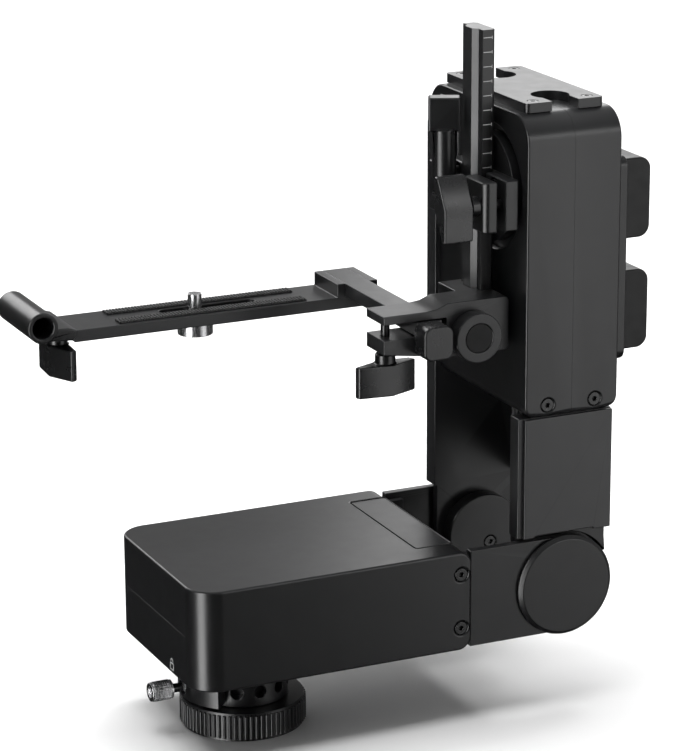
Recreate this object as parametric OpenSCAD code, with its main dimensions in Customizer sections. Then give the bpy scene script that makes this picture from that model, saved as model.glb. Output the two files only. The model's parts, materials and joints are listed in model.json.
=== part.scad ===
// Folding motorised pan-and-tilt head with a camera bracket.
// Millimetres. +Z is up, +X runs along the pan box from its free end to the
// fold hinge, and -Y is the side that the lens looks to. The origin is the
// centre of the mouth of the tripod thread, on the pan axis.

/* [Boxes] */
// Width of both boxes, along Y
box_w = 96; // [90:1:104]
// Thickness of both boxes
box_t = 46; // [44:1:50]
// Radius of the rounded corners at the free ends
corner_r = 13; // [8:0.5:16]
// Wall thickness of the covers
wall = 3; // [2:0.5:4]
// Height of the pan box's underside above the base
pan_z = 35; // [33:0.5:38]
// Distance from the pan axis to the free end of the pan box
pan_tail = 41; // [39:1:44]
// Distance from the pan axis to the open end of the pan cover
pan_cover_end = 90.5; // [88:0.5:92]
// Distance from the pan axis to the fold hinge axis
hinge_x = 137.3; // [136:0.1:139]
// Height of the underside of the tilt head's cover
head_z0 = 138; // [134:1:142]
// Height of the top of the tilt head
head_z1 = 273; // [270:1:280]
// Distance from the pan axis to the inner face of the tilt head
head_x0 = 116.3; // [116:0.1:117]

/* [Base] */
// Diameter of the knurled locking ring
ring_d = 57.7; // [54:0.1:60]
// Height of the knurled locking ring
ring_h = 13; // [11:0.5:14]
// Number of ridges on the locking ring
ring_ridges = 72; // [48:2:84]
// Diameter of the neck with the spanner holes
neck_d = 41; // [38:0.5:42]
// Number of spanner holes round the neck
neck_holes = 12; // [6:1:12]
// Radius of the 3/8 inch tripod thread
tripod_r = 4.76; // [4.76:0.01:4.77]
// Depth of the tripod thread
tripod_depth = 14; // [10:1:16]

/* [Tilt axis] */
// Distance of the tilt axis in front of the box's middle
tilt_y = 14; // [12:0.5:16]
// Height of the tilt axis
tilt_z = 237; // [232:1:240]
// Radius of the rotor disc
rotor_r = 24.5; // [22:0.5:26]
// Radius of the round opening round the rotor
rotor_port_r = 28; // [27:0.5:29]

/* [Camera bracket] */
// Height of the middle of the rail clamp
clamp_z = 234.2; // [232:0.1:238]
// Height of the top of the ruler rail
rail_top = 308; // [290:1:320]
// Spacing of the marks on the ruler rail
mark_step = 6.35; // [5:0.05:10]
// Width of the ruler rail, along Y
rail_w = 19; // [16:0.2:26]
// Height of the top of the elbow block
elbow_top = 192.4; // [188:0.2:196]
// Length of a wing knob
knob_l = 28; // [24:1:32]
// Radius of the 1/4 inch camera screw
camera_screw_r = 3.175; // [3.17:0.005:3.18]

/* [Hidden] */
$fn = 64;

body_black = "#1b1c1e";
part_black = "#232427";
steel = "#b9bcc0";
brass = "#b08d4a";
half_w = box_w / 2;
pan_top = pan_z + box_t;
hinge_z = pan_z + box_t / 2;
arm_half = 23.2;
arm_x0 = hinge_x - arm_half;
arm_x1 = hinge_x + arm_half;
head_x1 = head_x0 + box_t;
head_mid = (head_x0 + head_x1) / 2;
cheek_front = -46.6;
cheek_front_in = -42.6;
cheek_rear = 45;
cheek_rear_in = 41;
tongue_gap = 0.3;
wall_in = 37;
wall_out = 46;
arm_foot = pan_top + 1.2;
far_wall_top = 255;
fold_sweep_r = 24.4;
rotor_x = head_x0 - 2;
rail_x0 = 104.3;
rail_x1 = 112.8;
rail_y = -tilt_y;
jaw_x0 = 97.6;
jaw_x1 = 104.1;
jaw_y0 = -43.4;
jaw_y1 = 12;
jaw_h = 22.4;
clamp_screw_y = -37;
elbow_x1 = 113.4;
elbow_bottom = 168.2;
elbow_y0 = -37;
fork_depth = 18;
fork_x0 = 52.9;
fore_x = 74.4;
fore_w = 12;
fore_z0 = 179.3;
fore_z1 = 185.6;
fore_knob_x = 57.7;
fore_knob_y = elbow_y0 + fork_depth / 2;
plate_x0 = -62;
plate_y0 = 36;
plate_y1 = 62;
plate_z0 = 174;
plate_z1 = fore_z0;
plate_mid = (plate_y0 + plate_y1) / 2;
left_x = -66.5;
left_y = 46;

// ---------- shared shapes ----------

// A cylinder lying along Y, from y0 to y1
module along_y(r, y0, y1, x, z, fn = 64) {
    translate([x, y1, z]) rotate([90, 0, 0]) cylinder(r = r, h = y1 - y0, $fn = fn);
}

// A cylinder lying along X, from x0 to x1
module along_x(r, x0, x1, y, z, fn = 64) {
    translate([x0, y, z]) rotate([0, 90, 0]) cylinder(r = r, h = x1 - x0, $fn = fn);
}

// A box given by its two corners
module block(a, b) {
    translate(a) cube(b - a);
}

// A flat outline with its two left corners rounded
module tail_outline(x0, x1, w, r) {
    translate([x0 + r, -w / 2]) square([x1 - x0 - r, w]);
    translate([x0, -w / 2 + r]) square([x1 - x0, w - 2 * r]);
    for (side = [-1, 1])
        translate([x0 + r, side * (w / 2 - r)]) circle(r = r);
}

// A rectangle with four rounded corners
module round_rect(size, r) {
    translate([r, 0]) square([size[0] - 2 * r, size[1]]);
    translate([0, r]) square([size[0], size[1] - 2 * r]);
    for (x = [r, size[0] - r], y = [r, size[1] - r])
        translate([x, y]) circle(r = r, $fn = 32);
}

// Lays a flat outline drawn in Y and Z into the YZ plane, from x0 to x1
module in_yz(x0, x1) {
    translate([x0, 0, 0]) rotate([90, 0, 90]) linear_extrude(x1 - x0) children();
}

// Lays a flat outline drawn in X and Z into the XZ plane, from y0 to y1
module in_xz(y0, y1) {
    translate([0, y1, 0]) rotate([90, 0, 0]) linear_extrude(y1 - y0) children();
}

// An upright extrusion from z0 to z1
module linear_z(z0, z1) {
    translate([0, 0, z0]) linear_extrude(z1 - z0) children();
}

// Cuts a round corner through the whole width; turned by angle from the top right
module corner_cut(x, z, r, angle) {
    in_xz(-half_w - 1, half_w + 1) translate([x, z]) rotate(angle) difference() {
        translate([-r, -r]) square(r + 1);
        translate([-r, -r]) circle(r = r, $fn = 48);
    }
}

// A countersunk socket screw along +Z, its head's face at z = 0
module socket_screw(head_r, shank_r, length) {
    difference() {
        union() {
            translate([0, 0, -2.2]) cylinder(r = head_r, h = 2.2, $fn = 32);
            translate([0, 0, -length]) cylinder(r = shank_r, h = length, $fn = 24);
        }
        translate([0, 0, -1.6]) cylinder(r = shank_r * 0.72, h = 2, $fn = 6);
    }
}

// The outline of a wing knob: two bent wings, alike when turned half round
module wing_outline() {
    half = knob_l / 2;
    polygon([
        [5.2, half], [2.2, half], [-5.4, 0.6], [-5.4, -half],
        [-2.4, -half], [5.2, -0.6]
    ]);
}

// A wing knob along +Z with its collar and its screw above it
module wing_knob(head_h, collar_r, collar_h, screw_r, screw_l) {
    linear_extrude(head_h) wing_outline();
    cylinder(r = collar_r, h = head_h + collar_h, $fn = 40);
    cylinder(r = screw_r, h = head_h + collar_h + screw_l, $fn = 32);
}

// A spur gear's outline with straight-sided teeth
module gear_outline(teeth, module_size) {
    root = module_size * (teeth / 2 - 1.1);
    tip = module_size * (teeth / 2 + 0.9);
    circle(r = root);
    for (i = [0:teeth - 1])
        rotate(i * 360 / teeth) polygon([
            [root - 0.4, -module_size * 0.85], [tip, -module_size * 0.4],
            [tip, module_size * 0.4], [root - 0.4, module_size * 0.85]
        ]);
}

// ---------- base ----------

ring_bore_r = 19.06;
hub_foot_r = 19;

module locking_ring() {
    ridge_r = 0.75;
    color(part_black) difference() {
        union() {
            cylinder(r = ring_d / 2 - 1.4, h = ring_h, $fn = 120);
            for (i = [0:ring_ridges - 1])
                rotate(i * 360 / ring_ridges) translate([ring_d / 2 - 1.2, 0, 1.2])
                    cylinder(r = ridge_r, h = ring_h - 2.4, $fn = 13);
        }
        translate([0, 0, -1]) cylinder(r = ring_bore_r, h = ring_h + 2, $fn = 96);
    }
}

neck_z0 = ring_h + 0.3;
neck_z1 = pan_z - 0.6;
hub_top_r = 15;
hub_top = 47;
spanner_z = 20;

module base_hub() {
    color(part_black) difference() {
        union() {
            cylinder(r = hub_foot_r, h = neck_z0 + 1, $fn = 96);
            translate([0, 0, neck_z0]) cylinder(r = neck_d / 2, h = neck_z1 - neck_z0, $fn = 96);
            cylinder(r = hub_top_r, h = hub_top, $fn = 80);
        }
        translate([0, 0, -1]) cylinder(r = 7, h = tripod_depth + 3, $fn = 48);
        for (i = [0:neck_holes - 1])
            rotate(i * 360 / neck_holes) along_x(2.9, neck_d / 2 - 5, neck_d / 2 + 2, 0, spanner_z, 24);
    }
}

module thread_insert() {
    color(steel) difference() {
        cylinder(r = 7, h = tripod_depth + 2, $fn = 48);
        translate([0, 0, -1]) cylinder(r = tripod_r, h = tripod_depth + 1, $fn = 48);
    }
}

module pan_ring_gear() {
    color(brass) translate([0, 0, hub_top]) difference() {
        union() {
            linear_extrude(5) gear_outline(48, 1);
            cylinder(r = 12, h = 6);
        }
        translate([0, 0, -1]) cylinder(r = 6, h = 9);
    }
}

module pan_bearing() {
    color(steel) translate([0, 0, pan_z + 3.4]) difference() {
        cylinder(r = 21, h = 7, $fn = 80);
        translate([0, 0, -1]) cylinder(r = hub_top_r + 0.05, h = 9, $fn = 80);
    }
}

// ---------- pan box ----------

floor_h = 3;
end_r = 6;

module pan_floor() {
    color(body_black) difference() {
        union() {
            translate([0, 0, pan_z]) linear_extrude(floor_h)
                tail_outline(-pan_tail + wall, pan_cover_end - 0.2, box_w - 2 * wall, corner_r - wall);
            translate([0, 0, pan_z]) cylinder(r = 24, h = 11.6);
        }
        translate([0, 0, pan_z - 1]) cylinder(r = hub_top_r + 1, h = 16);
        translate([0, 0, pan_z + floor_h + 0.4]) cylinder(r = 21, h = 12, $fn = 80);
        corner_cut(pan_cover_end, pan_z, end_r, -90);
    }
}

hatch = [70, -34, 17.6, 70];
hatch_depth = 1;

module pan_cover() {
    color(body_black) difference() {
        translate([0, 0, pan_z]) linear_extrude(box_t)
            tail_outline(-pan_tail, pan_cover_end, box_w, corner_r);
        translate([0, 0, pan_z - 1]) linear_extrude(box_t + 1 - wall)
            tail_outline(-pan_tail + wall, pan_cover_end + 1, box_w - 2 * wall, corner_r - wall);
        translate([hatch[0], hatch[1], pan_top - hatch_depth]) cube([hatch[2], hatch[3], 2]);
        for (side = [-1, 1], dz = [-12.6, 12.6])
            translate([pan_screw_x, side * half_w, hinge_z + dz]) rotate([-side * 90, 0, 0])
                translate([0, 0, -2.5]) cylinder(r = 3.15, h = 3, $fn = 32);
        for (side = [-1, 1], dz = [-12.6, 12.6])
            along_y(1.7, side * half_w - 5, side * half_w + 5, pan_screw_x, hinge_z + dz, 24);
        along_y(3.08, half_w - 5, half_w + 1, button_x, hinge_z, 48);
        corner_cut(pan_cover_end, pan_top, end_r, 0);
        corner_cut(pan_cover_end, pan_z, end_r, -90);
    }
}

module pan_hatch() {
    color(part_black) translate([hatch[0] + 0.15, hatch[1] + 0.15, pan_top - hatch_depth])
        cube([hatch[2] - 0.3, hatch[3] - 0.3, 0.7]);
}

pan_screw_x = 85.6;

module pan_cover_screws() {
    color(part_black) for (side = [-1, 1], dz = [-12.6, 12.6])
        translate([pan_screw_x, side * (half_w - 0.3), hinge_z + dz]) rotate([-side * 90, 0, 0])
            socket_screw(3, 1.6, 9);
}

cheek_x0 = 60;
cheek_z0 = pan_z + 0.5;
cheek_z1 = pan_top - 0.5;
rail_foot = pan_z + floor_h;

// The outline of one cheek: full height to the hinge, round beyond it
module cheek_outline(x0) {
    translate([x0, cheek_z0]) square([hinge_x - x0, cheek_z1 - cheek_z0]);
    translate([hinge_x, hinge_z]) circle(r = (cheek_z1 - cheek_z0) / 2, $fn = 96);
}

module pan_chassis() {
    color(part_black) difference() {
        union() {
            in_xz(cheek_front, cheek_front_in) cheek_outline(pan_cover_end + 0.1);
            in_xz(cheek_rear_in, cheek_rear) cheek_outline(pan_cover_end + 0.1);
            // rails inside the cover that carry the cheeks
            block([cheek_x0, -half_w + wall, rail_foot], [pan_cover_end + 8, -38, pan_top - wall - 0.4]);
            block([cheek_x0, 38, rail_foot], [pan_cover_end + 8, half_w - wall, pan_top - wall - 0.4]);
            block([cheek_x0, -39, rail_foot], [cheek_x0 + 5, 39, pan_z + 16]);
            block([cheek_x0, -39, rail_foot], [pan_cover_end + 8, 39, rail_foot + 3]);
        }
        for (side = [-1, 1], dz = [-12.6, 12.6])
            along_y(1.6, side * 44 - 6, side * 44 + 6, pan_screw_x, hinge_z + dz, 24);
        along_y(bush_r, cheek_front - 1, cheek_rear + 1, hinge_x, hinge_z);
    }
}

pan_motor_x = 40.5;

module pan_motor() {
    color(steel) {
        translate([pan_motor_x, 0, pan_z + floor_h]) cylinder(r = 16, h = 8, $fn = 64);
        translate([pan_motor_x, 0, pan_z + floor_h + 8]) cylinder(r = 2.5, h = 7, $fn = 32);
    }
}

module pan_pinion() {
    half_pitch = 180 / 32;
    color(brass) translate([pan_motor_x, 0, hub_top]) difference() {
        rotate(half_pitch) linear_extrude(5) gear_outline(32, 1);
        translate([0, 0, -1]) cylinder(r = 2.55, h = 8, $fn = 32);
    }
}

module pan_board() {
    color("#1f4a33") block([-30, -30, pan_top - 14], [56, 30, pan_top - 12.4]);
    color("#303030") {
        for (x = [-26, 52], y = [-26, 26])
            translate([x, y, pan_z + floor_h]) cylinder(r = 2, h = box_t - 14 - floor_h, $fn = 24);
        block([-14, -16, pan_top - 12.4], [2, 0, pan_top - 10.6]);
        block([14, 2, pan_top - 12.4], [26, 14, pan_top - 10.8]);
        block([34, -20, pan_top - 12.4], [44, -6, pan_top - 8.6]);
    }
}

lock_z = spanner_z;
lock_knob = [-44.5, -34.4];
lock_tip = -21.6;

// A curved block that hugs the neck and carries the lock pin
module lock_housing() {
    color(part_black) difference() {
        translate([0, 0, 15.2]) cylinder(r = 29, h = pan_z - 15.2, $fn = 96);
        translate([0, 0, 14]) cylinder(r = neck_d / 2 + 0.7, h = 30, $fn = 96);
        rotate(60) translate([-0.1, -40, 14]) cube([60, 80, 30]);
        rotate(-44) translate([-0.1, -40, 14]) cube([60, 80, 30]);
        along_x(2.05, -40, -10, 0, lock_z, 32);
        along_x(3.6, -30, -25.6, 0, lock_z, 32);
    }
}

module lock_pin() {
    color(steel) {
        along_x(2, lock_knob[1] - 1, lock_tip, 0, lock_z, 32);
        difference() {
            union() {
                along_x(4.2, lock_knob[0], lock_knob[1], 0, lock_z, 60);
                for (i = [0:23])
                    translate([lock_knob[0] + 1, 0, lock_z]) rotate([i * 15, 0, 0])
                        translate([0, 4.2, 0]) rotate([0, 90, 0]) cylinder(r = 0.3, h = 8, $fn = 13);
            }
            along_x(2.4, lock_knob[0] - 1, lock_knob[0] + 0.8, 0, lock_z, 32);
        }
    }
}

module lock_spring() {
    color(steel) difference() {
        along_x(3.5, -28, -25.6, 0, lock_z, 32);
        along_x(2.2, -29, -25, 0, lock_z, 32);
    }
}

button_x = 10;

module power_button() {
    color(part_black) {
        along_y(3, half_w - 3.4, half_w + 0.8, button_x, hinge_z, 48);
        along_y(4.2, half_w - 4.6, half_w - 3.4, button_x, hinge_z, 48);
    }
}

// ---------- fold hinge ----------

hinge_pin_r = 9;
hinge_cap_r = 23.45;
bush_r = 10.2;
pin_gap = 0.06;
flange_r = 18.5;
flange_lid = 2.6;
flange_faces = [-31, 30];
// The flange screw's place, from the hinge axis, in X and Z
flange_screw = [2.7, -5.2];

module hinge_pins() {
    front = [cheek_front - 0.1, flange_faces[0] - flange_lid];
    rear = [flange_faces[1] + flange_lid, cheek_rear + 0.1];
    color(steel) for (span = [front, rear])
        difference() {
            along_y(hinge_pin_r, span[0], span[1], hinge_x, hinge_z);
            along_y(1.4, -40, 40, hinge_x + flange_screw[0], hinge_z + flange_screw[1], 24);
        }
}

// A round cap with a stepped, bevelled rim, its back at y = 0, facing -Y
module hinge_cap() {
    rotate([90, 0, 0]) rotate_extrude($fn = 120) polygon([
        [0, 0], [hinge_cap_r - 0.9, 0], [hinge_cap_r, 0.5], [hinge_cap_r, 1.4],
        [hinge_cap_r - 1.7, 3], [0, 3]
    ]);
}

module hinge_cap_front() {
    color(part_black) translate([hinge_x, cheek_front - 0.1, hinge_z]) hinge_cap();
}

module hinge_cap_rear() {
    color(part_black) translate([hinge_x, cheek_rear + 0.1, hinge_z]) rotate([0, 0, 180]) hinge_cap();
}

module hinge_bushes() {
    color(brass) for (span = [[cheek_front, cheek_front_in], [cheek_rear_in, cheek_rear]])
        difference() {
            along_y(bush_r, span[0], span[1], hinge_x, hinge_z);
            along_y(hinge_pin_r + pin_gap, span[0] - 1, span[1] + 1, hinge_x, hinge_z);
        }
}

// ---------- arm ----------

// The part of an arm wall above the hinge, with its round cut over the cap
module arm_wall_outline(top) {
    difference() {
        translate([arm_x0, hinge_z]) square([arm_half * 2, top - hinge_z]);
        translate([arm_x0 - 1, hinge_z - 1]) square([arm_half + 1, arm_foot - hinge_z + 1]);
        translate([hinge_x, hinge_z]) circle(r = fold_sweep_r, $fn = 96);
        translate([hinge_x, hinge_z - 1]) square([arm_half + 1, 13.5]);
        translate([arm_x1 - 2.2, hinge_z - 1]) square([10, arm_foot - hinge_z + 1]);
    }
}

// The tongue that goes down inside a cheek to the hinge
module tongue_outline() {
    difference() {
        union() {
            translate([hinge_x, hinge_z]) circle(r = 22.2, $fn = 96);
            translate([hinge_x - 22.2, hinge_z]) square([44.4, 40]);
        }
        translate([hinge_x, hinge_z]) circle(r = hinge_pin_r);
    }
}

module arm_frame() {
    near_in = -38;
    color(part_black) {
        in_xz(-46, near_in) arm_wall_outline(head_z0);
        in_xz(wall_in, wall_out) arm_wall_outline(far_wall_top);
        in_xz(cheek_front_in + tongue_gap, near_in) tongue_outline();
        in_xz(wall_in, cheek_rear_in - tongue_gap) tongue_outline();
        // the web that joins both walls behind
        block([arm_x1 - 5, near_in - 1, hinge_z + 26], [arm_x1, wall_in + 1, head_z0]);
        block([arm_x1 - 12, near_in - 1, 120], [arm_x1, wall_in + 1, head_z0]);
    }
}

plate_notch = [122, 139.5];

module arm_plate() {
    color(body_black) in_xz(-half_w, -46) difference() {
        translate([head_x0 + 0.2, arm_foot]) square([arm_x1 - head_x0 - 0.5, head_z0 - 0.3 - arm_foot]);
        translate([plate_notch[0], arm_foot - 1]) square([plate_notch[1] - plate_notch[0] + 12, 1.9]);
    }
}

// A shallow round boss that closes a hinge pin's inner end; side is -1 at the front
module flange(y_open, y_face, side) {
    lid_y = y_face + side * flange_lid;
    seat_y = y_face + side * 1.9;
    x = hinge_x + flange_screw[0];
    z = hinge_z + flange_screw[1];
    color(part_black) difference() {
        along_y(flange_r, min(y_open, y_face), max(y_open, y_face), hinge_x, hinge_z, 80);
        along_y(hinge_pin_r, min(y_open + side, lid_y), max(y_open + side, lid_y), hinge_x, hinge_z);
        along_y(1.6, -40, 40, x, z, 24);
        along_y(3, min(y_face - side, seat_y), max(y_face - side, seat_y), x, z, 32);
    }
}

module fold_flanges() {
    flange(-38, flange_faces[0], -1);
    flange(37, flange_faces[1], 1);
}

// A socket screw with a thin head, along +Z
module short_screw() {
    difference() {
        union() {
            translate([0, 0, -1.8]) cylinder(r = 2.8, h = 1.8, $fn = 32);
            translate([0, 0, -8]) cylinder(r = 1.35, h = 8, $fn = 24);
        }
        translate([0, 0, -1.2]) cylinder(r = 1.15, h = 2, $fn = 6);
    }
}

module flange_screws() {
    color(part_black) translate([hinge_x + flange_screw[0], 0, hinge_z + flange_screw[1]]) {
        translate([0, flange_faces[1] + 0.1, 0]) rotate([90, 0, 0]) short_screw();
        translate([0, flange_faces[0] - 0.1, 0]) rotate([-90, 0, 0]) short_screw();
    }
}

sleeve_x = 133;
sleeve_y = -12;

module cable_sleeve() {
    color("#2a2b2d") translate([sleeve_x, sleeve_y, hinge_z + 10])
        cylinder(r = 4, h = head_z0 - hinge_z - 10, $fn = 48);
}

// ---------- tilt head ----------

// The side outline of the head, in Y and Z, grown or shrunk by d
module head_outline(d) {
    side_y = half_w - d;
    foot = head_z0 + d;
    difference() {
        union() {
            translate([-side_y, foot + 3]) square([2 * side_y, head_z1 - corner_r - foot - 3]);
            translate([-side_y + 3, foot]) square([2 * side_y - 3, 4]);
            translate([-side_y + 3, foot + 3]) circle(r = 3, $fn = 32);
            translate([-half_w + corner_r, head_z1 - corner_r - 1]) square([box_w - 2 * corner_r, corner_r - d + 1]);
            for (side = [-1, 1])
                translate([side * (half_w - corner_r), head_z1 - corner_r]) circle(r = corner_r - d);
        }
        translate([wall_in - 0.2 - d, head_z0 - 1]) square([20, far_wall_top + 0.3 + d - head_z0 + 1]);
    }
}

// One half of the head's cover, from x0 to x1, hollow from in0 to in1
module head_half(x0, x1, in0, in1) {
    difference() {
        in_yz(x0, x1) head_outline(0);
        in_yz(in0, in1) head_outline(wall);
    }
}

head_screw_z = 143.4;
head_screw_x = [127.5, 151];

module head_cover_inner() {
    strip = [19, 36.8];
    color(body_black) difference() {
        union() {
            head_half(head_x0, head_mid - 0.05, head_x0 + wall, head_mid + 1);
            block([head_x0 - 1, strip[0], 236], [head_x0 + 1, strip[1], head_z1 - 5]);
        }
        along_x(rotor_port_r, head_x0 - 2, head_x0 + wall + 1, -tilt_y, tilt_z, 96);
        corner_cut(head_x0, head_z0, end_r, 180);
        along_y(3.15, -half_w - 1, -half_w + 2.5, head_screw_x[0], head_screw_z, 32);
        along_y(1.7, -half_w - 1, -half_w + 6, head_screw_x[0], head_screw_z, 24);
        accessory_holes();
    }
}

module head_cover_outer() {
    color(body_black) difference() {
        head_half(head_mid + 0.05, head_x1, head_mid - 1, head_x1 - wall);
        corner_cut(head_x1, head_z0, end_r, -90);
        along_y(3.15, -half_w - 1, -half_w + 2.5, head_screw_x[1], head_screw_z, 32);
        along_y(1.7, -half_w - 1, -half_w + 6, head_screw_x[1], head_screw_z, 24);
        accessory_holes();
    }
}

module head_cover_screws() {
    color(part_black) for (x = head_screw_x)
        translate([x, -half_w + 0.3, head_screw_z]) rotate([90, 0, 0]) socket_screw(3, 1.6, 5.6);
}

acc_x = [120.3, 158.3];
acc_y = [-38, 40];
acc_h = 4.2;
acc_cut_r = 8.5;
acc_inset = 14;
acc_screws = [[126, -33], [152.6, -33], [126, 35], [152.6, 35]];

module accessory_holes() {
    for (p = acc_screws)
        translate([p[0], p[1], head_z1 - 6]) cylinder(r = 1.35, h = 8, $fn = 24);
}

// A flat plate with a round cut-out open to each end
module accessory_plate() {
    mid_x = (acc_x[0] + acc_x[1]) / 2;
    color(part_black) difference() {
        translate([acc_x[0], acc_y[0], head_z1]) linear_extrude(acc_h)
            round_rect([acc_x[1] - acc_x[0], acc_y[1] - acc_y[0]], 2);
        for (y = [acc_y[0] + acc_inset, acc_y[1] - acc_inset])
            translate([mid_x, y, head_z1 - 1]) cylinder(r = acc_cut_r, h = acc_h + 2, $fn = 64);
        for (y = [acc_y[0] - 1, acc_y[1] - acc_inset])
            translate([mid_x - 6.5, y, head_z1 - 1]) cube([13, acc_inset + 1, acc_h + 2]);
        for (p = acc_screws) {
            translate([p[0], p[1], head_z1 - 1]) cylinder(r = 1.4, h = 8, $fn = 24);
            translate([p[0], p[1], head_z1 + acc_h - 2.3]) cylinder(r = 2.6, h = 4, $fn = 32);
        }
    }
}

module accessory_screws() {
    color(part_black) for (p = acc_screws)
        translate([p[0], p[1], head_z1 + acc_h - 0.1]) socket_screw(2.5, 1.3, 9);
}

bat_plate_x1 = head_x1 + 5.6;
bat_plate_z = [158, 250.5];
bat_centres = [176.5, 227.7];
bat_half = 18.3;
bat_y = [-29.4, 27.6];

module battery_plate() {
    color(part_black) difference() {
        in_yz(head_x1, bat_plate_x1) translate([-44, bat_plate_z[0]])
            round_rect([78, bat_plate_z[1] - bat_plate_z[0]], 5);
        for (z = bat_centres)
            block([bat_plate_x1 - 1.2, bat_y[0] - 0.5, z - bat_half - 0.5],
                  [bat_plate_x1 + 1, bat_y[1] + 0.5, z + bat_half + 0.5]);
    }
}

// One battery, lying along Y, with its two outer long edges rounded
module battery(z) {
    r = 5.5;
    x0 = bat_plate_x1 - 1;
    x1 = bat_plate_x1 + 20;
    color("#1a1a1c") in_xz(bat_y[0], bat_y[1]) {
        translate([x0, z - bat_half]) square([x1 - x0 - r, 2 * bat_half]);
        translate([x0, z - bat_half + r]) square([x1 - x0, 2 * (bat_half - r)]);
        for (side = [-1, 1])
            translate([x1 - r, z + side * (bat_half - r)]) circle(r = r);
    }
}

module battery_upper() {
    battery(bat_centres[1]);
}

module battery_lower() {
    battery(bat_centres[0]);
}

tilt_motor_z = 194.6;
gearbox_x = [130, 134];

module gearbox_plate() {
    color("#5d6064") difference() {
        block([gearbox_x[0], -half_w + wall, 170], [gearbox_x[1], wall_in - wall - 0.2, 258]);
        along_x(16, 129, 139, -tilt_y, tilt_z, 80);
        along_x(3, 129, 139, -tilt_y, tilt_motor_z, 32);
    }
}

module tilt_motor() {
    color(steel) {
        along_x(17, gearbox_x[1], 150, -tilt_y, tilt_motor_z);
        along_x(2.5, 122, gearbox_x[1], -tilt_y, tilt_motor_z, 32);
    }
}

module tilt_pinion() {
    half_pitch = 180 / 30;
    color(brass) in_yz(122.5, 127.5) translate([-tilt_y, tilt_motor_z]) difference() {
        rotate(half_pitch) gear_outline(30, 1);
        circle(r = 2.55);
    }
}

module tilt_gear() {
    color(brass) in_yz(122.5, 127.5) translate([-tilt_y, tilt_z]) difference() {
        gear_outline(54, 1);
        circle(r = 8.98, $fn = 80);
    }
}

module tilt_bearing() {
    color(steel) difference() {
        along_x(16, 130, 138, -tilt_y, tilt_z, 80);
        along_x(9.05, 129, 139, -tilt_y, tilt_z, 80);
    }
}

module head_board() {
    color("#1f4a33") block([154.4, -34, 152], [156, 26, 262]);
    color("#303030") {
        for (y = [-30, 22], z = [156, 258])
            along_x(2, 156, head_x1 - wall, y, z, 24);
        block([151.6, -20, 214], [154.4, -4, 230]);
        block([152.4, 4, 224], [154.4, 16, 236]);
    }
}

// ---------- tilt rotor and rail clamp ----------

rotor_bolts = [[-tilt_y - 18, clamp_z + 7], [-tilt_y - 18, clamp_z - 7],
    [-tilt_y + 18, clamp_z + 7], [-tilt_y + 18, clamp_z - 7]];

module tilt_rotor() {
    color(part_black) difference() {
        union() {
            along_x(rotor_r, rotor_x, head_x0 + 2.5, -tilt_y, tilt_z, 96);
            along_x(12, head_x0 + 2, 122.5, -tilt_y, tilt_z);
            along_x(30, 119.6, 121.2, -tilt_y, tilt_z, 96);
            along_x(8.98, 122, 146, -tilt_y, tilt_z, 80);
        }
        along_x(4, rotor_x - 1, 147, -tilt_y, tilt_z, 48);
        for (p = rotor_bolts)
            along_x(1.6, rotor_x - 1, rotor_x + 4, p[0], p[1], 24);
    }
}

back_x = rotor_x - 1.2;

module clamp_base() {
    z0 = clamp_z - jaw_h / 2;
    z1 = clamp_z + jaw_h / 2;
    color(part_black) difference() {
        union() {
            block([back_x, jaw_y0, z0], [rotor_x, jaw_y1, z1]);
            block([108.1, jaw_y0, z0], [rotor_x, rail_y - rail_w / 2 - 0.2, z1]);
            block([108.1, rail_y + rail_w / 2 + 0.2, z0], [rotor_x, jaw_y1, z1]);
            block([jaw_x1, jaw_y1 - 8, z0 + 1], [109, jaw_y1, z1 - 1]);
        }
        along_x(2.05, 105, rotor_x + 1, clamp_screw_y, clamp_z, 32);
        for (p = rotor_bolts) {
            along_x(1.6, 100, rotor_x + 1, p[0], p[1], 24);
            along_x(3.1, 100, 110.6, p[0], p[1], 32);
        }
    }
}

scoop_y = -15.4;
post_x = 95.5;
post_y = -8.6;
post_r = 5.4;
post_head = [14, 8, 15];

// Square-headed post that stands on the jaw, in the scoop
module jaw_post(z0, z1) {
    translate([post_x, post_y, z0]) cylinder(r = post_r, h = z1 - z0 - post_head[2] + 1, $fn = 64);
    translate([post_x, post_y, z1 - post_head[2]]) rotate(-25)
        translate([-post_head[0] / 2, -post_head[1] / 2, 0]) cube(post_head);
}

module clamp_jaw() {
    z0 = clamp_z - jaw_h / 2;
    z1 = clamp_z + jaw_h / 2;
    c = 1.8;
    color(part_black) jaw_post(z1 - 4.4, z1 + 32);
    color(part_black) difference() {
        linear_z(z0, z1) polygon([
            [jaw_x0, jaw_y0 + c], [jaw_x0 + c, jaw_y0], [jaw_x1, jaw_y0],
            [jaw_x1, jaw_y1], [jaw_x0 + c, jaw_y1], [jaw_x0, jaw_y1 - c]
        ]);
        translate([jaw_x0 + 1, scoop_y, z1 - 3.4]) cylinder(r = 9.4, h = 20);
        along_x(2.6, jaw_x0 - 1, jaw_x1 + 1, clamp_screw_y, clamp_z, 32);
        block([jaw_x0 - 1, -1.5, clamp_z - 4], [jaw_x0 + 1.4, 7.5, clamp_z - 2.4]);
    }
}

module clamp_screws() {
    color(part_black) for (p = rotor_bolts)
        translate([110.6, p[0], p[1]]) rotate([0, -90, 0]) translate([0, 0, 2.2])
            socket_screw(2.9, 1.55, 9);
}

module clamp_knob() {
    color(part_black) translate([79.2, clamp_screw_y, clamp_z]) rotate([90, 0, 90])
        wing_knob(13.8, 4.5, 4.5, 2, 15);
}

// ---------- ruler rail and elbow ----------

rail_z0 = elbow_bottom + 3;
rail_flat = 6.6;
rail_cham = 2.2;
rail_neck_x = rail_x0 + rail_cham;

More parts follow.
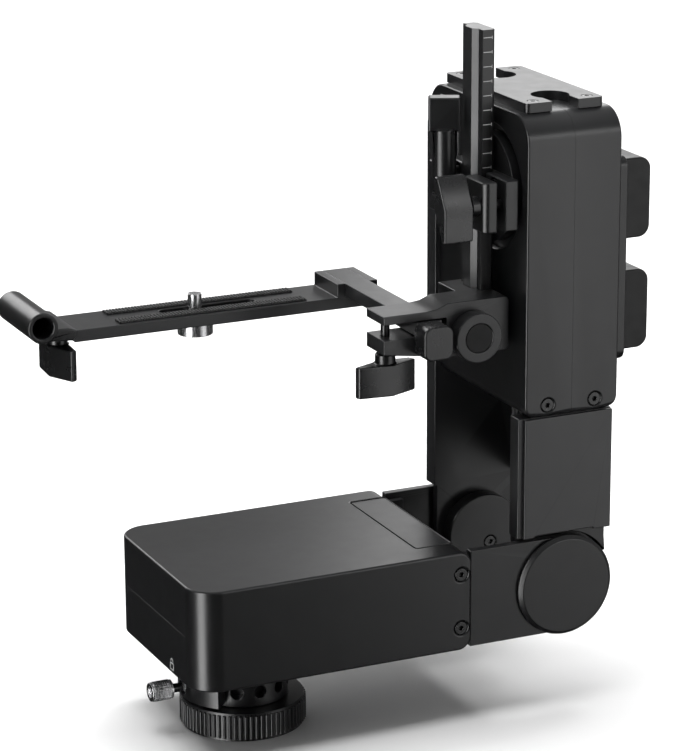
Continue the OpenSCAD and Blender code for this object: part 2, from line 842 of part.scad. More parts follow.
// Half of the rail's section: flat, chamfer, step and ruler face
module rail_outline() {
    half = rail_w / 2;
    flat = rail_flat / 2;
    translate([0, rail_y]) polygon([
        [rail_x0, -flat], [rail_neck_x, -flat - rail_cham], [rail_neck_x, -half],
        [rail_x1 - 1.4, -half], [rail_x1, -half + 1.4], [rail_x1, half - 1.4],
        [rail_x1 - 1.4, half], [rail_neck_x, half], [rail_neck_x, flat + rail_cham],
        [rail_x0, flat]
    ]);
}

module ruler_rail() {
    marks = 10;
    mark_z0 = rail_top - 3.6;
    color(part_black) difference() {
        linear_z(rail_z0, rail_top) rail_outline();
        for (i = [0:marks - 1])
            translate([rail_neck_x + 0.3, rail_y - rail_w / 2 - 1, mark_z0 - i * mark_step])
                cube([4.4, 1.15, 0.35]);
    }
}

ring_x = 95.5;
ring_z = 177;
fork_top = 189.8;
fork_gap0 = 179;
fork_gap1 = 185.9;

module elbow_block() {
    color(part_black) difference() {
        union() {
            in_xz(elbow_y0, elbow_y0 + fork_depth) polygon([
                [84, elbow_bottom], [elbow_x1 - 1, elbow_bottom], [elbow_x1, elbow_bottom + 1],
                [elbow_x1, elbow_top - 1.4], [elbow_x1 - 1.4, elbow_top], [83.6, elbow_top],
                [78.4, elbow_top - 2], [73, fork_top], [fork_x0, fork_top],
                [fork_x0, fork_gap1], [fork_x0 + 30, fork_gap1], [fork_x0 + 30, fork_gap0],
                [fork_x0, fork_gap0], [fork_x0, 172.6]
            ]);
            block([96, elbow_y0 + fork_depth - 1, elbow_bottom], [elbow_x1, -2, elbow_top]);
        }
        linear_z(rail_z0, 200) rail_outline();
        along_y(3.05, elbow_y0 - 1, elbow_y0 + 9, ring_x, ring_z, 40);
        translate([fore_knob_x, fore_knob_y, 160]) cylinder(r = 2.05, h = 28, $fn = 32);
    }
}

module ring_knob() {
    color(part_black) difference() {
        union() {
            along_y(11.1, elbow_y0 - 7.2, elbow_y0 - 0.1, ring_x, ring_z, 80);
            along_y(3, elbow_y0 - 2, elbow_y0 + 8.6, ring_x, ring_z, 40);
        }
        along_y(6.5, elbow_y0 - 8, elbow_y0 - 5.4, ring_x, ring_z, 64);
    }
}

module ring_knob_button() {
    color("#15161a") along_y(6.5, elbow_y0 - 6.9, elbow_y0 - 5.4, ring_x, ring_z, 64);
}

module fore_aft_rail() {
    color(part_black) block([fore_x - fore_w / 2, elbow_y0 - 1, fore_z0], [fore_x + fore_w / 2, plate_y1, fore_z1]);
}

module end_stop() {
    color(part_black) in_xz(elbow_y0 - 12, elbow_y0 - 1) translate([fore_x - 7.8, 170.9])
        round_rect([14, 15], 3.8);
}

module rail_lock_knob() {
    color(part_black) translate([fore_knob_x, fore_knob_y, 152.4]) rotate(113)
        wing_knob(14.2, 4.5, 4.5, 2, 16);
}

// ---------- camera platform ----------

slot_r = 3;
pad_h = 1;

module camera_plate() {
    color(part_black) difference() {
        union() {
            block([plate_x0, plate_y0, plate_z0], [fore_x + 10, plate_y1, plate_z1]);
            block([fore_x - 10, plate_y0, plate_z1 - 1], [fore_x - fore_w / 2, plate_y1, fore_z1]);
            block([fore_x + fore_w / 2, plate_y0, plate_z1 - 1], [fore_x + 10, plate_y1, fore_z1]);
        }
        for (x = [-14, 26])
            translate([x, plate_mid, plate_z0 - 1]) cylinder(r = slot_r, h = 10, $fn = 40);
        block([-14, plate_mid - slot_r, plate_z0 - 1], [26, plate_mid + slot_r, plate_z0 + 9]);
    }
}

module plate_pads() {
    color("#2b2b2b") for (y = [plate_y0 + 2, plate_y1 - 8])
        block([-40, y, plate_z1], [50, y + 6, plate_z1 + pad_h]);
}

// The captive screw: a knob, a thinner shank in the slot, and the thread above
module camera_screw() {
    shank_r = 2.9;
    color(steel) translate([0, plate_mid, 0]) {
        translate([0, 0, plate_z0 - 6.6]) cylinder(r = 8, h = 6.4, $fn = 48);
        translate([0, 0, plate_z0 - 1]) cylinder(r = shank_r, h = plate_z1 + pad_h - plate_z0 + 2, $fn = 40);
        translate([0, 0, plate_z1 + pad_h]) cylinder(r = camera_screw_r, h = 5.7, $fn = 40);
    }
}

// The clamp at the free end: an open tube on a wedge-shaped foot
module left_clamp() {
    tube = [-78.8, 184.3];
    foot_z = 177.2;
    color(part_black) difference() {
        union() {
            in_xz(28, 70) translate(tube) circle(r = 6.9, $fn = 80);
            in_xz(32, 66) polygon([
                [tube[0] - 2, foot_z], [-64, foot_z - 1.2], [plate_x0, foot_z + 0.4],
                [plate_x0, foot_z + 3.6], [-66, foot_z + 4.8], [tube[0] + 4, foot_z + 4.8]
            ]);
        }
        in_xz(27, 66) translate(tube) circle(r = 4.7, $fn = 64);
        translate([left_x, left_y, 170]) cylinder(r = 2.05, h = 10.4, $fn = 32);
    }
}

module left_clamp_knob() {
    color(part_black) translate([left_x, left_y, 157.4]) rotate(26)
        wing_knob(14.2, 4.5, 4, 2, 4.4);
}

locking_ring();
base_hub();
thread_insert();
pan_ring_gear();
pan_bearing();
pan_floor();
pan_cover();
pan_hatch();
pan_chassis();
pan_cover_screws();
pan_motor();
pan_pinion();
pan_board();
lock_housing();
lock_pin();
lock_spring();
power_button();
hinge_pins();
hinge_cap_front();
hinge_cap_rear();
hinge_bushes();
arm_frame();
arm_plate();
fold_flanges();
flange_screws();
cable_sleeve();
head_cover_inner();
head_cover_outer();
head_cover_screws();
accessory_plate();
accessory_screws();
battery_plate();
battery_upper();
battery_lower();
gearbox_plate();
tilt_motor();
tilt_pinion();
tilt_gear();
tilt_bearing();
head_board();
tilt_rotor();
clamp_base();
clamp_jaw();
clamp_screws();
clamp_knob();
ruler_rail();
elbow_block();
ring_knob();
ring_knob_button();
fore_aft_rail();
end_stop();
rail_lock_knob();
camera_plate();
plate_pads();
camera_screw();
left_clamp();
left_clamp_knob();
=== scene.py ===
# Looks for the folding pan-and-tilt head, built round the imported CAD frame.
# Metres. +Z is up, +X runs to the fold hinge, -Y is the side the lens looks to.
import json
import math

import bmesh
import bpy
from mathutils import Matrix, Vector

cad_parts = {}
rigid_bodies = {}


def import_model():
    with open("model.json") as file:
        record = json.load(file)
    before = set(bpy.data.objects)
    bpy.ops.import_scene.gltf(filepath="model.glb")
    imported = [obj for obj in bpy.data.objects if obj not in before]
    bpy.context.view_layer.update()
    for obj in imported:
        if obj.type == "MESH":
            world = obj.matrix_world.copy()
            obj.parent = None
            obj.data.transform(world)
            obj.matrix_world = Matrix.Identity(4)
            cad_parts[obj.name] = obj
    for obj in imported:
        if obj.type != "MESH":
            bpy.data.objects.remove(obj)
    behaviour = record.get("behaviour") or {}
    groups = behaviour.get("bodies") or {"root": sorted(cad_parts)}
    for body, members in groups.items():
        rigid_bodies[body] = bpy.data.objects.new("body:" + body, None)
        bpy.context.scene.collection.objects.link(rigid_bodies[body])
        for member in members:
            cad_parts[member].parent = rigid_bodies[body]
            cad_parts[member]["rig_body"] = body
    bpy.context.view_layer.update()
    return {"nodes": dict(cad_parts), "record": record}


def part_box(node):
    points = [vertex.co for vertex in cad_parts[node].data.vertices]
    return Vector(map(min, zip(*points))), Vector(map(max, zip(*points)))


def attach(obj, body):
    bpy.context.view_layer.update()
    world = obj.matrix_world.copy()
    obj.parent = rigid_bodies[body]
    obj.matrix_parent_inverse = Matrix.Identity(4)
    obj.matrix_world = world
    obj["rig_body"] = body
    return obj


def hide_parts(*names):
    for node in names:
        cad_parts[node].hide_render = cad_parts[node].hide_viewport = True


MM = 0.001
TAU = 2 * math.pi

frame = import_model()


# ---------- materials ----------


class Shader:
    """A Principled material with a few procedural building blocks."""

    def __init__(self, name, colour, rough, metallic=0.0, specular=0.5, coat=0.0):
        self.material = bpy.data.materials.new(name)
        self.material.use_nodes = True
        self.tree = self.material.node_tree
        self.bsdf = self.tree.nodes["Principled BSDF"]
        self.colour = colour
        self.rough = rough
        self.bsdf.inputs["Base Color"].default_value = (*colour, 1)
        self.bsdf.inputs["Roughness"].default_value = rough
        self.bsdf.inputs["Metallic"].default_value = metallic
        self.bsdf.inputs["Specular IOR Level"].default_value = specular
        self.bsdf.inputs["Coat Weight"].default_value = coat
        self.coords = self.tree.nodes.new("ShaderNodeTexCoord").outputs["Object"]
        self.bump_out = None
        self.material.diffuse_color = (*colour, 1)

    def link(self, a, b):
        self.tree.links.new(a, b)

    def mapped(self, scale=(1, 1, 1)):
        node = self.tree.nodes.new("ShaderNodeMapping")
        node.inputs["Scale"].default_value = scale
        self.link(self.coords, node.inputs["Vector"])
        return node.outputs["Vector"]

    def noise(self, scale, detail=3.0, stretch=(1, 1, 1)):
        node = self.tree.nodes.new("ShaderNodeTexNoise")
        node.inputs["Scale"].default_value = scale
        node.inputs["Detail"].default_value = detail
        self.link(self.mapped(stretch), node.inputs["Vector"])
        return node.outputs["Fac"]

    def voronoi(self, scale):
        node = self.tree.nodes.new("ShaderNodeTexVoronoi")
        node.inputs["Scale"].default_value = scale
        self.link(self.mapped(), node.inputs["Vector"])
        return node.outputs["Distance"]

    def ramp(self, fac, low, high, from_min=0.3, from_max=0.7):
        """Stretches the middle of a texture's range over low..high."""
        node = self.tree.nodes.new("ShaderNodeMapRange")
        node.inputs["From Min"].default_value = from_min
        node.inputs["From Max"].default_value = from_max
        node.inputs["To Min"].default_value = low
        node.inputs["To Max"].default_value = high
        self.link(fac, node.inputs["Value"])
        return node.outputs["Result"]

    def vary_roughness(self, fac, spread):
        self.link(self.ramp(fac, self.rough - spread, self.rough + spread),
                  self.bsdf.inputs["Roughness"])

    def mix_colour(self, fac, a, b):
        """Colours a to b by fac; a may be a colour or another node's output."""
        mix = self.tree.nodes.new("ShaderNodeMix")
        mix.data_type = "RGBA"
        factor, first, second = mix.inputs[0], mix.inputs[6], mix.inputs[7]
        self.link(fac, factor)
        if isinstance(a, bpy.types.NodeSocket):
            self.link(a, first)
        else:
            first.default_value = (*a, 1)
        second.default_value = (*b, 1)
        return mix.outputs[2]

    def vary_colour(self, fac, low, high, wear=0.0):
        """Multiplies the base colour by low..high, and lightens worn edges."""
        dark = [c * low for c in self.colour]
        light = [min(c * high, 1) for c in self.colour]
        out = self.mix_colour(self.ramp(fac, 0, 1), dark, light)
        if wear:
            geometry = self.tree.nodes.new("ShaderNodeNewGeometry")
            edge = self.ramp(geometry.outputs["Pointiness"], 0, wear, 0.52, 0.58)
            worn = [min(c * 3 + 0.01, 1) for c in self.colour]
            out = self.mix_colour(edge, out, worn)
        self.link(out, self.bsdf.inputs["Base Color"])

    def bump(self, fac, strength, distance):
        node = self.tree.nodes.new("ShaderNodeBump")
        node.inputs["Strength"].default_value = strength
        node.inputs["Distance"].default_value = distance
        self.link(fac, node.inputs["Height"])
        if self.bump_out:
            self.link(self.bump_out, node.inputs["Normal"])
        self.bump_out = node.outputs["Normal"]
        self.link(self.bump_out, self.bsdf.inputs["Normal"])


def anodised(name, level, rough, grain):
    """Bead-blasted black anodised aluminium."""
    s = Shader(name, (level, level * 1.02, level * 1.09), rough, 0.0, 0.5)
    s.vary_colour(s.noise(60, 4), 0.92, 1.08, wear=0.5)
    s.vary_roughness(s.noise(140, 3), 0.02)
    s.bump(s.noise(grain, 2), 0.10, 0.00004)
    s.bump(s.voronoi(grain * 0.6), 0.06, 0.00003)
    return s.material


def turned_metal(name, colour, rough, axis):
    """Turned or brushed bare metal with fine lines round one axis."""
    s = Shader(name, colour, rough, 1.0)
    stretch = [120, 120, 120]
    stretch[axis] = 9000
    s.vary_roughness(s.noise(1.0, 3, stretch), 0.07)
    s.vary_colour(s.noise(90, 3), 0.9, 1.06)
    s.bump(s.noise(1.0, 2, stretch), 0.08, 0.00002)
    return s.material


def moulded(name, level, rough, grain):
    """Moulded plastic with a fine spark-eroded grain."""
    s = Shader(name, (level, level, level * 1.05), rough, 0.0, 0.3)
    s.vary_colour(s.noise(50, 3), 0.9, 1.1)
    s.vary_roughness(s.noise(200, 2), 0.05)
    s.bump(s.voronoi(grain), 0.22, 0.00006)
    return s.material


def painted(name, colour, rough):
    """A thin, slightly uneven coat of paint."""
    s = Shader(name, colour, rough)
    s.vary_colour(s.noise(300, 2), 0.94, 1.0)
    s.vary_roughness(s.noise(500, 2), 0.05)
    s.bump(s.noise(4000, 2), 0.1, 0.00002)
    return s.material


def woven(name):
    """Dull woven nylon with a soft sheen."""
    s = Shader(name, (0.008, 0.008, 0.009), 0.6, 0.0, 0.4)
    s.bsdf.inputs["Sheen Weight"].default_value = 0.25
    s.bsdf.inputs["Sheen Roughness"].default_value = 0.4
    s.vary_colour(s.noise(700, 3), 0.6, 1.7)
    s.vary_roughness(s.noise(900, 2), 0.1)
    s.bump(s.noise(1.0, 2, (5200, 5200, 900)), 0.4, 0.0001)
    return s.material


def circuit(name):
    """A lacquered circuit board."""
    s = Shader(name, (0.02, 0.12, 0.06), 0.35, 0.0, 0.5, 0.4)
    s.vary_colour(s.noise(160, 3), 0.7, 1.3)
    s.vary_roughness(s.noise(300, 2), 0.05)
    s.bump(s.voronoi(500), 0.15, 0.00008)
    return s.material


def ribbed_rubber(name):
    """Soft matt rubber."""
    s = Shader(name, (0.022, 0.022, 0.022), 0.75)
    s.vary_colour(s.noise(200, 4), 0.75, 1.3)
    s.vary_roughness(s.noise(400, 3), 0.1)
    s.bump(s.noise(2600, 4), 0.3, 0.00005)
    return s.material


MATERIALS = {
    "cover_black": anodised("cover_black", 0.0058, 0.30, 5200),
    "frame_black": anodised("frame_black", 0.0062, 0.33, 4200),
    "knob_black": anodised("knob_black", 0.0062, 0.28, 5200),
    "screw_black": anodised("screw_black", 0.005, 0.24, 6000),
    "steel": turned_metal("steel", (0.66, 0.66, 0.67), 0.26, 0),
    "brass": turned_metal("brass", (0.62, 0.44, 0.2), 0.3, 2),
    "gearbox_grey": turned_metal("gearbox_grey", (0.42, 0.43, 0.44), 0.4, 1),
    "board_green": circuit("board_green"),
    "battery_black": moulded("battery_black", 0.0045, 0.38, 2400),
    "button_black": moulded("button_black", 0.003, 0.5, 3000),
    "sleeve_black": woven("sleeve_black"),
    "pad_rubber": ribbed_rubber("pad_rubber"),
}
MARK_WHITE = painted("mark_white", (0.75, 0.75, 0.75), 0.5)
SEAM = painted("seam", (0.1, 0.1, 0.102), 0.4)
LABEL = moulded("label_black", 0.005, 0.22, 900)

# ---------- edge finish ----------

# Edge rounding of each CAD node, in millimetres; the rest take EDGE_DEFAULT
EDGE_DEFAULT = 0.3
EDGES = {
    "pan_cover": 1.1, "head_cover_inner": 0.9, "head_cover_outer": 0.9, "pan_floor": 0.3,
    "arm_plate": 0.5, "arm_frame": 0.5, "pan_chassis": 0.4, "battery_upper": 1.0,
    "battery_lower": 1.0, "battery_plate": 0.5, "clamp_jaw": 0.9, "clamp_base": 0.8, "clamp_knob": 0.8,
    "rail_lock_knob": 0.8, "left_clamp_knob": 0.8, "elbow_block": 0.5, "ring_knob": 0.6,
    "hinge_cap_front": 0.25, "hinge_cap_rear": 0.25, "fold_flanges": 0.7, "camera_plate": 0.4,
    "end_stop": 0.9, "fore_aft_rail": 0.4, "left_clamp": 0.8, "locking_ring": 0.15,
    "lock_pin": 0.2, "pan_ring_gear": 0.1, "pan_pinion": 0.1,
    "tilt_gear": 0.1, "tilt_pinion": 0.1, "cable_sleeve": 0.1,
}

# Prisms with grooves and holes cut in their faces keep flat shading
FLAT = ("ruler_rail", "accessory_plate", "plate_pads")

WELD_DISTANCE = 2e-6
FLAT_ANGLE = math.radians(0.6)
EDGE_ANGLE = math.radians(32)
SHARP_ANGLE = math.radians(50)
EDGE_SEGMENTS = 3


def node_body(node):
    return frame["nodes"][node]["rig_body"]


def mesh_from(bm, name):
    mesh = bpy.data.meshes.new(name)
    bm.to_mesh(mesh)
    bm.free()
    return mesh


def linked(name, data, material=None):
    """A new object in the scene, with its material where it has one."""
    obj = bpy.data.objects.new(name, data)
    bpy.context.scene.collection.objects.link(obj)
    if material:
        data.materials.append(material)
    return obj


def shade_smooth(obj):
    for polygon in obj.data.polygons:
        polygon.use_smooth = True


def weight_normals(obj, keep_sharp):
    normals = obj.modifiers.new("normals", "WEIGHTED_NORMAL")
    normals.keep_sharp = keep_sharp
    normals.weight = 100


def soften(obj, width):
    """Clean, rounded edges and smooth curves on a CAD node, by modifiers only."""
    shade_smooth(obj)
    weld = obj.modifiers.new("weld", "WELD")
    weld.merge_threshold = WELD_DISTANCE
    flat = obj.modifiers.new("flat", "DECIMATE")
    flat.decimate_type = "DISSOLVE"
    flat.angle_limit = FLAT_ANGLE
    bevel = obj.modifiers.new("edge", "BEVEL")
    bevel.width = width * MM
    bevel.segments = EDGE_SEGMENTS
    bevel.limit_method = "ANGLE"
    bevel.angle_limit = EDGE_ANGLE
    bevel.use_clamp_overlap = False
    bevel.miter_outer = "MITER_ARC"
    weight_normals(obj, keep_sharp=False)


def split_cover(node, width, seam_x):
    """A copy of one cover half with rounded edges, left sharp along the seam."""
    source = frame["nodes"][node]
    bm = bmesh.new()
    bm.from_mesh(source.data)
    bmesh.ops.remove_doubles(bm, verts=bm.verts, dist=WELD_DISTANCE)
    bmesh.ops.dissolve_limit(bm, angle_limit=FLAT_ANGLE, verts=bm.verts, edges=bm.edges)
    near = 0.2 * MM
    edges = []
    for edge in bm.edges:
        if not edge.is_manifold or edge.calc_face_angle(0) < EDGE_ANGLE:
            continue
        if all(abs(v.co.x - seam_x) < near for v in edge.verts):
            continue
        edges.append(edge)
    bmesh.ops.bevel(bm, geom=edges, offset=width * MM, segments=EDGE_SEGMENTS, profile=0.5,
                    affect="EDGES", clamp_overlap=False, miter_outer="ARC")
    for edge in bm.edges:
        if edge.is_manifold and edge.calc_face_angle(0) > SHARP_ANGLE:
            edge.smooth = False
    shell = linked(node + "_shell", mesh_from(bm, node + "_shell"), MATERIALS["cover_black"])
    shade_smooth(shell)
    weight_normals(shell, keep_sharp=True)
    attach(shell, node_body(node))
    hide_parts(node)


def finish_cad_nodes():
    slots = {p["node"]: p["material_slot"] for p in frame["record"]["subparts"]}
    for name, obj in frame["nodes"].items():
        if "custom_normal" in obj.data.attributes:
            obj.data.attributes.remove(obj.data.attributes["custom_normal"])
        if name not in FLAT:
            soften(obj, EDGES.get(name, EDGE_DEFAULT))
        obj.data.materials.clear()
        obj.data.materials.append(MATERIALS[slots[name]])
    seam_x = (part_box("head_cover_inner")[1].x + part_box("head_cover_outer")[0].x) / 2
    for name in ("head_cover_inner", "head_cover_outer"):
        split_cover(name, EDGES[name], seam_x)


# ---------- mesh helpers ----------


def add_mesh(name, build, material, body):
    """Makes an object from a bmesh that build() fills, and rides it on a body."""
    bm = bmesh.new()
    build(bm)
    bmesh.ops.recalc_face_normals(bm, faces=bm.faces)
    obj = linked(name, mesh_from(bm, name), material)
    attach(obj, body)
    return obj


def round_edges(obj, width, segments=2):
    edge = obj.modifiers.new("edge", "BEVEL")
    edge.width = width * MM
    edge.segments = segments


def box_into(bm, low, high):
    """Adds an upright box between two corners."""
    size = [high[i] - low[i] for i in range(3)]
    centre = [(high[i] + low[i]) / 2 for i in range(3)]
    place = Matrix.Translation(centre) @ Matrix.Diagonal((*size, 1))
    bmesh.ops.create_cube(bm, size=1.0, matrix=place)


# ---------- ruler marks ----------


def ruler_marks():
    """White paint in the rail's grooves, each with a short bar at its end."""
    low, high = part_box("ruler_rail")
    step, first, count = 6.35 * MM, 3.6 * MM, 10
    x0, x1 = low.x + 2.55 * MM, low.x + 6.85 * MM
    outside, inside = low.y - 0.01 * MM, low.y + 0.12 * MM
    line, bar = 0.3 * MM, 1.3 * MM

    def build(bm):
        for i in range(count):
            z = high.z - first - i * step + 0.17 * MM
            box_into(bm, (x0, outside, z - line / 2), (x1, inside, z + line / 2))
            box_into(bm, (x1 - line, outside, z - bar / 2), (x1, inside, z + bar / 2))

    add_mesh("ruler_marks", build, MARK_WHITE, "rail")


# ---------- pan box seam and lock pin stem ----------


def pan_seam():
    """The hairline across the pan box's end, at half its height."""
    low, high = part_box("pan_cover")
    z = (low.z + high.z) / 2
    corner, line = 13 * MM, 0.22 * MM

    def build(bm):
        box_into(bm, (low.x - 0.012 * MM, low.y + corner, z - line / 2),
                 (low.x + 0.1 * MM, high.y - corner, z + line / 2))

    add_mesh("pan_seam", build, SEAM, "pan")


def pin_stem():
    """The black sleeve on the lock pin's stem, behind its bright head."""
    low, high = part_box("lock_pin")
    axis_y, axis_z = (low.y + high.y) / 2, (low.z + high.z) / 2
    start, length, radius = low.x + 10.1 * MM, 5 * MM, 2.03 * MM

    def build(bm):
        middle = Matrix.Translation((start + length / 2, axis_y, axis_z))
        place = middle @ Matrix.Rotation(math.pi / 2, 4, "Y")
        bmesh.ops.create_cone(bm, cap_ends=True, segments=48, radius1=radius, radius2=radius,
                              depth=length, matrix=place)

    stem = add_mesh("pin_stem", build, MATERIALS["screw_black"], "lock")
    round_edges(stem, 0.15)


# ---------- padlock mark ----------

LOCK_MARK_Y = -18.7
LOCK_MARK_Z = 36.9


def padlock_mark():
    """A small generic padlock outline beside the lock pin, on the pan box's end."""
    y, z = LOCK_MARK_Y * MM, LOCK_MARK_Z * MM
    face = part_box("pan_cover")[0].x
    thick, width, tall = 0.45 * MM, 4.2 * MM, 3.4 * MM
    outside, inside = face - 0.02 * MM, face + 0.1 * MM

    def plate(bm, y0, z0, y1, z1):
        box_into(bm, (outside, y0, z0), (inside, y1, z1))

    def build(bm):
        half = width / 2
        plate(bm, y - half, z, y + half, z + thick)
        plate(bm, y - half, z + tall - thick, y + half, z + tall)
        plate(bm, y - half, z, y - half + thick, z + tall)
        plate(bm, y + half - thick, z, y + half, z + tall)
        # the shackle: half a ring above the body
        outer, inner = 1.45 * MM, 1.05 * MM
        shackle_z = z + tall + 0.5 * MM
        steps = 14
        turns = [math.pi * i / steps for i in range(steps + 1)]
        rings = []
        for x in (outside, inside):
            for r in (inner, outer):
                rings.append([
                    bm.verts.new((x, y + r * math.cos(a), shackle_z + r * math.sin(a))) for a in turns
                ])
        loop = [rings[0], rings[1], rings[3], rings[2]]
        for k in range(4):
            a, b = loop[k], loop[(k + 1) % 4]
            for i in range(steps):
                bm.faces.new((a[i], a[i + 1], b[i + 1], b[i]))
        for end in (0, steps):
            bm.faces.new([r[end] for r in loop])

    add_mesh("padlock_mark", build, MARK_WHITE, "pan")


# ---------- braided sleeve ----------


def braided_sleeve():
    """The cable's woven sleeve: strands cross in two directions round a tube."""
    low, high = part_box("cable_sleeve")
    centre = (low + high) / 2
    radius = (high.x - low.x) / 2
    around, rows = 96, 220
    strands, pitch = 12, 0.02
    height = high.z - low.z

    def build(bm):
        rings = []
        for j in range(rows + 1):
            z = low.z + height * j / rows
            ring = []
            for i in range(around):
                a = TAU * i / around
                turn = TAU * z / pitch
                left = math.sin(strands * a + turn * 2)
                right = math.sin(strands * a - turn * 2)
                r = radius - 0.5 * MM + 0.45 * MM * max(left, right)
                place = (centre.x + r * math.cos(a), centre.y + r * math.sin(a), z)
                ring.append(bm.verts.new(place))
            rings.append(ring)
        for a, b in zip(rings, rings[1:]):
            for i in range(around):
                k = (i + 1) % around
                bm.faces.new((a[i], a[k], b[k], b[i]))
        bm.faces.new(rings[0][::-1])
        bm.faces.new(rings[-1])

    sleeve = add_mesh("braided_sleeve", build, MATERIALS["sleeve_black"], "arm")
    shade_smooth(sleeve)
    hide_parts("cable_sleeve")


# ---------- batteries ----------


def battery_details():
    """A blank recessed label and a ribbed thumb grip on each battery."""
    for node in ("battery_upper", "battery_lower"):
        low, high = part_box(node)
        middle = (low + high) / 2
        label = Vector((0, 15 * MM, 12 * MM))

        def build_label(bm):
            box_into(bm, (high.x - 0.2 * MM, middle.y - label.y, middle.z - label.z),
                     (high.x + 0.05 * MM, middle.y + label.y, middle.z + label.z))
            rim = [e for e in bm.edges if abs(e.verts[0].co.x - e.verts[1].co.x) > 1e-6]
            bmesh.ops.bevel(bm, geom=rim, offset=1.6 * MM, segments=5, affect="EDGES", profile=0.5)

        add_mesh(node + "_label", build_label, LABEL, node_body(node))

        def build_grip(bm):
            for side in (-1, 1):
                for i in range(6):
                    y = middle.y + side * (18.5 + i * 1.4) * MM
                    box_into(bm, (high.x - 0.3 * MM, y - 0.35 * MM, middle.z - 8 * MM),
                             (high.x + 0.35 * MM, y + 0.35 * MM, middle.z + 8 * MM))

        grip = add_mesh(node + "_grip", build_grip, MATERIALS["battery_black"],
                        node_body(node))
        round_edges(grip, 0.2)


# ---------- pads ----------


def ribbed_pads():
    """Rubber strips with fine cross ribs, in place of the plain pads."""
    low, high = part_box("plate_pads")
    strip, rib, gap = 6 * MM, 1.0 * MM, 0.5 * MM
    base, inset = high.z - 0.45 * MM, 0.1 * MM

    def build(bm):
        for y0 in (low.y, high.y - strip):
            box_into(bm, (low.x, y0, low.z), (high.x, y0 + strip, base))
            x = low.x
            while x + rib <= high.x + 1e-9:
                box_into(bm, (x, y0 + inset, base - inset), (x + rib, y0 + strip - inset, high.z))
                x += rib + gap

    pads = add_mesh("ribbed_pads", build, MATERIALS["pad_rubber"], "platform")
    round_edges(pads, 0.12)
    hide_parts("plate_pads")


# ---------- stage ----------

CAMERA_AT = Vector((-0.5051, -1.2124, 0.5528))
CAMERA_AZIMUTH = math.radians(-24.51)
CAMERA_DIP = math.radians(16.64)
CAMERA_ROLL = math.radians(-0.31)
CAMERA_LENS = 150.72


def camera():
    """The photograph's viewpoint."""
    forward = Vector((
        -math.sin(CAMERA_AZIMUTH) * math.cos(CAMERA_DIP),
        math.cos(CAMERA_AZIMUTH) * math.cos(CAMERA_DIP),
        -math.sin(CAMERA_DIP),
    ))
    right0 = forward.cross(Vector((0, 0, 1))).normalized()
    up0 = right0.cross(forward)
    right = right0 * math.cos(CAMERA_ROLL) + up0 * math.sin(CAMERA_ROLL)
    up = up0 * math.cos(CAMERA_ROLL) - right0 * math.sin(CAMERA_ROLL)
    data = bpy.data.cameras.new("camera")
    data.lens = CAMERA_LENS
    data.sensor_width = 36.0
    data.clip_start = 0.05
    obj = linked("camera", data)
    turn = Matrix((right, up, -forward)).transposed().to_4x4()
    obj.matrix_world = Matrix.Translation(CAMERA_AT) @ turn
    bpy.context.scene.camera = obj


def area_light(name, at, target, size, power):
    """A rectangular light aimed at a point, left out of reflections."""
    data = bpy.data.lights.new(name, "AREA")
    data.shape = "RECTANGLE"
    data.size, data.size_y = size
    data.energy = power
    obj = linked(name, data)
    obj.location = at
    aim = Vector(target) - Vector(at)
    obj.rotation_euler = aim.to_track_quat("-Z", "Y").to_euler()
    obj.visible_glossy = False


WORLD_GLOW_TOWARDS = (0.35, 0.25, 1.1)
WORLD_DIM = 0.03
WORLD_BRIGHT = 0.45


def studio_world():
    """A dim room, brighter towards the upper back, so the tops carry a gradient."""
    world = bpy.data.worlds.new("world")
    bpy.context.scene.world = world
    world.use_nodes = True
    tree = world.node_tree
    background = tree.nodes["Background"]
    background.inputs["Color"].default_value = (1, 1, 1, 1)
    direction = tree.nodes.new("ShaderNodeTexCoord")
    toward = tree.nodes.new("ShaderNodeVectorMath")
    toward.operation = "DOT_PRODUCT"
    toward.inputs[1].default_value = WORLD_GLOW_TOWARDS
    level = tree.nodes.new("ShaderNodeMapRange")
    level.inputs["From Min"].default_value = 0.0
    level.inputs["From Max"].default_value = 1.0
    level.inputs["To Min"].default_value = WORLD_DIM
    level.inputs["To Max"].default_value = WORLD_BRIGHT
    tree.links.new(direction.outputs["Generated"], toward.inputs[0])
    tree.links.new(toward.outputs["Value"], level.inputs["Value"])
    tree.links.new(level.outputs["Result"], background.inputs["Strength"])


# Upright glowing cards: centre, width along X, width along Y, height and radiance
CARDS = {
    "card_front_right": ((1.0, -0.95, 0.2), 0.95, 0, 1.3, 1.5),
    "card_front_middle": ((0.42, -0.95, 0.15), 0.24, 0, 0.5, 2.2),
    "card_front_high": ((0.75, -0.93, 0.64), 0.9, 0, 0.14, 4.5),
    "card_left": ((-0.72, -0.36, 0.1), 0, 0.42, 1.2, 8.0),
    "card_back": ((1.0, 1.0, 0.62), 0.95, 0, 0.9, 1.1),
    "card_back_high": ((1.0, 0.95, 0.72), 1.0, 0, 0.46, 3.0),
    "card_back_left": ((-0.17, 1.0, 0.72), 0.6, 0, 0.52, 4.5),
}


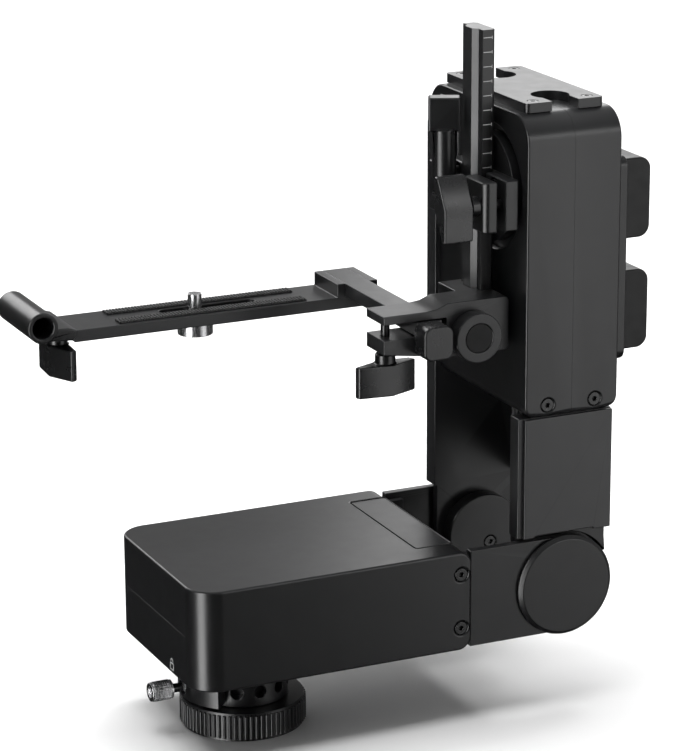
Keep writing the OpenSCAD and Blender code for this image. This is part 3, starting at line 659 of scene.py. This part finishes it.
def card(name, at, along_x, along_y, height, radiance):
    """A softly glowing studio card that only reflections show."""
    centre = Vector(at)
    across, up = Vector((along_x, along_y, 0)) / 2, Vector((0, 0, height)) / 2
    mesh = bpy.data.meshes.new(name)
    corners = [centre - across - up, centre + across - up, centre + across + up, centre - across + up]
    mesh.from_pydata([tuple(c) for c in corners], [], [(0, 1, 2, 3)])
    material = bpy.data.materials.new(name)
    material.use_nodes = True
    tree = material.node_tree
    tree.nodes.clear()
    glow = tree.nodes.new("ShaderNodeEmission")
    glow.inputs["Strength"].default_value = radiance
    out = tree.nodes.new("ShaderNodeOutputMaterial")
    tree.links.new(glow.outputs["Emission"], out.inputs["Surface"])
    material.cycles.emission_sampling = "NONE"
    obj = linked(name, mesh, material)
    obj.visible_camera = False
    obj.visible_diffuse = False
    obj.visible_shadow = False


def backdrop():
    """A pale floor that curves up behind into a wall."""
    shader = Shader("floor", (0.86, 0.86, 0.86), 0.9, 0.0, 0.1)
    shader.vary_colour(shader.noise(2.0, 2), 0.99, 1.0)
    shader.vary_roughness(shader.noise(5.0, 2), 0.03)
    reach, back, height, radius, steps = 4.0, 2.4, 3.0, 0.9, 16
    profile = [(-reach, 0.0), (back - radius, 0.0)]
    for i in range(1, steps + 1):
        a = math.pi / 2 * i / steps
        profile.append((back - radius + radius * math.sin(a), radius - radius * math.cos(a)))
    profile.append((back, height))
    bm = bmesh.new()
    rows = [[bm.verts.new((x, y, z)) for y, z in profile] for x in (-reach, reach)]
    for i in range(len(profile) - 1):
        bm.faces.new((rows[0][i], rows[1][i], rows[1][i + 1], rows[0][i + 1]))
    floor = linked("floor", mesh_from(bm, "floor"), shader.material)
    shade_smooth(floor)
    floor.visible_glossy = False


def studio():
    """Light for the shapes, and cards for what the dark metal reflects."""
    studio_world()
    area_light("top_softbox", (0.1, 0.1, 1.6), (0.1, 0.05, 0), (1.7, 1.2), 36)
    area_light("backdrop_wash", (0.3, 0.6, 2.2), (0.4, 2.4, 1.0), (2.5, 0.6), 60)
    for name, values in CARDS.items():
        card(name, *values)
    backdrop()
    bpy.context.scene.view_settings.view_transform = "Standard"


finish_cad_nodes()
ruler_marks()
pan_seam()
pin_stem()
padlock_mark()
braided_sleeve()
battery_details()
ribbed_pads()
camera()
studio()
